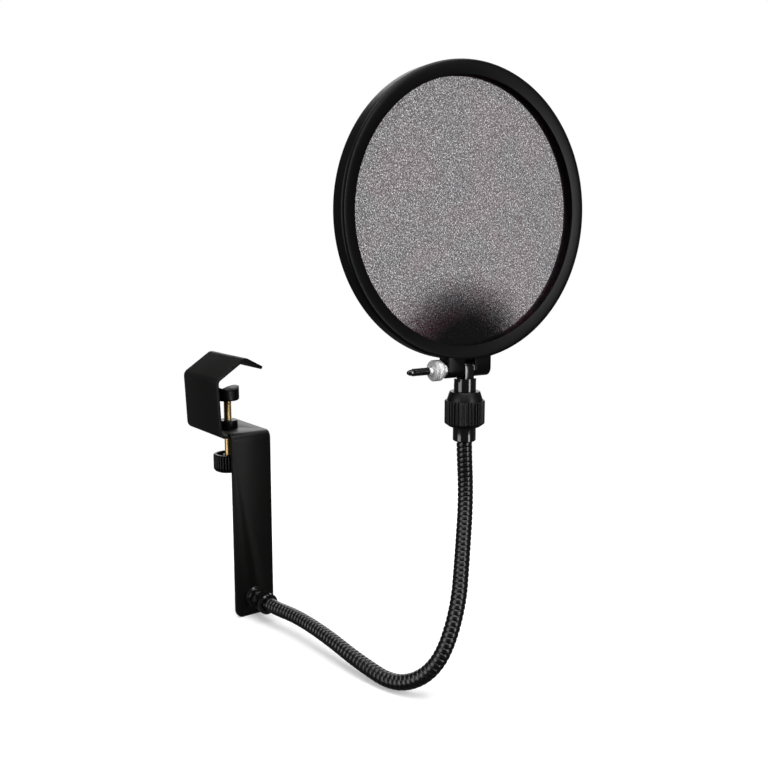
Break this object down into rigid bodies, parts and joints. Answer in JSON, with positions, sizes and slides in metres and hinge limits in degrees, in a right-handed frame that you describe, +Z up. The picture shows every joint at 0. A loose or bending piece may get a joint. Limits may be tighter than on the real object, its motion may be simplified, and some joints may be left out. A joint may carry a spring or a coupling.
{
  "type": "pop filter",
  "caption": "Round double-layer mesh screen in a hoop, with a tilt pivot and collar swivel on a bendable gooseneck, held by a screw-jaw hook clamp for a microphone stand.",
  "frame": {"origin": "on the axis of the stand tube that the jaw holds, where the clamp screw's axis crosses it, 35 mm above the shelf", "axes": "+Z up along the clamp screw towards the hook; +Y along the stand tube, away from the screen; +X out of the hook's open side"},
  "size_m": [0.1584, 0.2062, 0.3252],
  "materials": {
    "powder_coat": "satin black powder coat, fine grain",
    "blackened_steel": "gloss black plated steel",
    "neck_jacket": "satin black lacquer on wound steel",
    "brass": "turned brass",
    "moulded_black": "moulded, fine matt texture",
    "pad_black": "moulded nylon, matt",
    "mesh": "fine knitted nylon mesh",
    "aluminium": "turned and knurled, bright",
    "zinc_steel": "zinc plated",
    "white_nylon": "natural nylon"
  },
  "bodies": {
    "root": {"clamp_bracket": "powder_coat", "shelf_bush": "moulded_black", "foot_screw": "zinc_steel", "foot_washer": "zinc_steel", "foot_ferrule": "blackened_steel", "neck_link_0": "neck_jacket"},
    "jaw": {"jaw_pad": "pad_black"},
    "screw": {"clamp_screw": "brass", "clamp_knob": "moulded_black"},
    "neck_1": {"neck_link_1": "neck_jacket"},
    "neck_2": {"neck_link_2": "neck_jacket"},
    "neck_3": {"neck_link_3": "neck_jacket"},
    "neck_4": {"neck_link_4": "neck_jacket"},
    "neck_5": {"neck_link_5": "neck_jacket"},
    "neck_6": {"neck_link_6": "neck_jacket"},
    "neck_7": {"neck_link_7": "neck_jacket"},
    "neck_8": {"neck_link_8": "neck_jacket"},
    "neck_end": {"neck_link_9": "neck_jacket", "neck_ferrule": "blackened_steel"},
    "collet": {"collet": "moulded_black"},
    "collar_nut": {"collar_nut": "moulded_black"},
    "stem": {"pivot_stem": "blackened_steel"},
    "head": {"hoop": "moulded_black", "screen_ring": "moulded_black", "front_screen": "mesh", "rear_screen": "mesh", "pivot_bolt": "blackened_steel", "friction_washers": "white_nylon"},
    "washer": {"steel_washer": "zinc_steel"},
    "tilt_nut": {"tilt_nut": "aluminium"}
  },
  "joints": [
    {"name": "jaw_travel", "type": "slide", "parent": "root", "child": "jaw", "axis": [0, 0, 1], "range_m": [-0.012, 0.008]},
    {"name": "screw_turn", "type": "hinge", "parent": "jaw", "child": "screw", "pos_m": [0, 0, -0.03], "axis": [0, 0, 1], "range_deg": [-5400, 3600]},
    {"name": "neck_bend_1", "type": "hinge", "parent": "root", "child": "neck_1", "pos_m": [0.00625, -0.0575, -0.14075], "axis": [0.9814, 0.1919, -0.0042], "range_deg": [-25, 25]},
    {"name": "neck_bend_2", "type": "hinge", "parent": "neck_1", "child": "neck_2", "pos_m": [0.009, -0.085, -0.141], "axis": [0, -0.0312, 0.9995], "range_deg": [-25, 25]},
    {"name": "neck_bend_3", "type": "hinge", "parent": "neck_2", "child": "neck_3", "pos_m": [0.01, -0.1165, -0.1435], "axis": [0.9995, 0.0317, 0.0041], "range_deg": [-25, 25]},
    {"name": "neck_bend_4", "type": "hinge", "parent": "neck_3", "child": "neck_4", "pos_m": [0.013, -0.14625, -0.1475], "axis": [0, -0.139, 0.9903], "range_deg": [-25, 25]},
    {"name": "neck_bend_5", "type": "hinge", "parent": "neck_4", "child": "neck_5", "pos_m": [0.02125, -0.1695, -0.14275], "axis": [0.8904, 0.3641, -0.2731], "range_deg": [-25, 25]},
    {"name": "neck_bend_6", "type": "hinge", "parent": "neck_5", "child": "neck_6", "pos_m": [0.03375, -0.1785, -0.122], "axis": [0, -1, 0], "range_deg": [-25, 25]},
    {"name": "neck_bend_7", "type": "hinge", "parent": "neck_6", "child": "neck_7", "pos_m": [0.04725, -0.17225, -0.095], "axis": [0.9057, -0.1837, -0.382], "range_deg": [-25, 25]},
    {"name": "neck_bend_8", "type": "hinge", "parent": "neck_7", "child": "neck_8", "pos_m": [0.06, -0.16025, -0.069], "axis": [0, -0.9145, 0.4045], "range_deg": [-25, 25]},
    {"name": "neck_bend_9", "type": "hinge", "parent": "neck_8", "child": "neck_end", "pos_m": [0.0647, -0.1549, -0.042], "axis": [0.9957, -0.0026, 0.0924], "range_deg": [-25, 25]},
    {"name": "collet_lift", "type": "slide", "parent": "neck_end", "child": "collet", "axis": [0, 0, 1], "range_m": [0, 0.001]},
    {"name": "collar_nut_turn", "type": "hinge", "parent": "collet", "child": "collar_nut", "pos_m": [0.0634, -0.1553, -0.01], "axis": [0, 0, 1], "range_deg": [0, 360]},
    {"name": "head_swivel", "type": "hinge", "parent": "neck_end", "child": "stem", "pos_m": [0.0634, -0.1553, -0.005], "axis": [0, 0, 1], "continuous": true},
    {"name": "filter_tilt", "type": "hinge", "parent": "stem", "child": "head", "pos_m": [0.0634, -0.1553, 0.0152], "axis": [0.9957, -0.0924, 0], "range_deg": [-90, 90]},
    {"name": "washer_shift", "type": "slide", "parent": "head", "child": "washer", "axis": [-0.9957, 0.0924, 0], "range_m": [0, 0.0014]},
    {"name": "tilt_nut_turn", "type": "hinge", "parent": "washer", "child": "tilt_nut", "pos_m": [0.04548, -0.15364, 0.0152], "axis": [-0.9957, 0.0924, 0], "range_deg": [0, 720]}
  ],
  "couplings": [
    {"joint": "jaw_travel", "follows": "screw_turn", "m_per_rad": 0.00012732},
    {"joint": "collet_lift", "follows": "collar_nut_turn", "m_per_rad": 0.00015915},
    {"joint": "washer_shift", "follows": "tilt_nut_turn", "m_per_rad": 0.00011141}
  ]
}
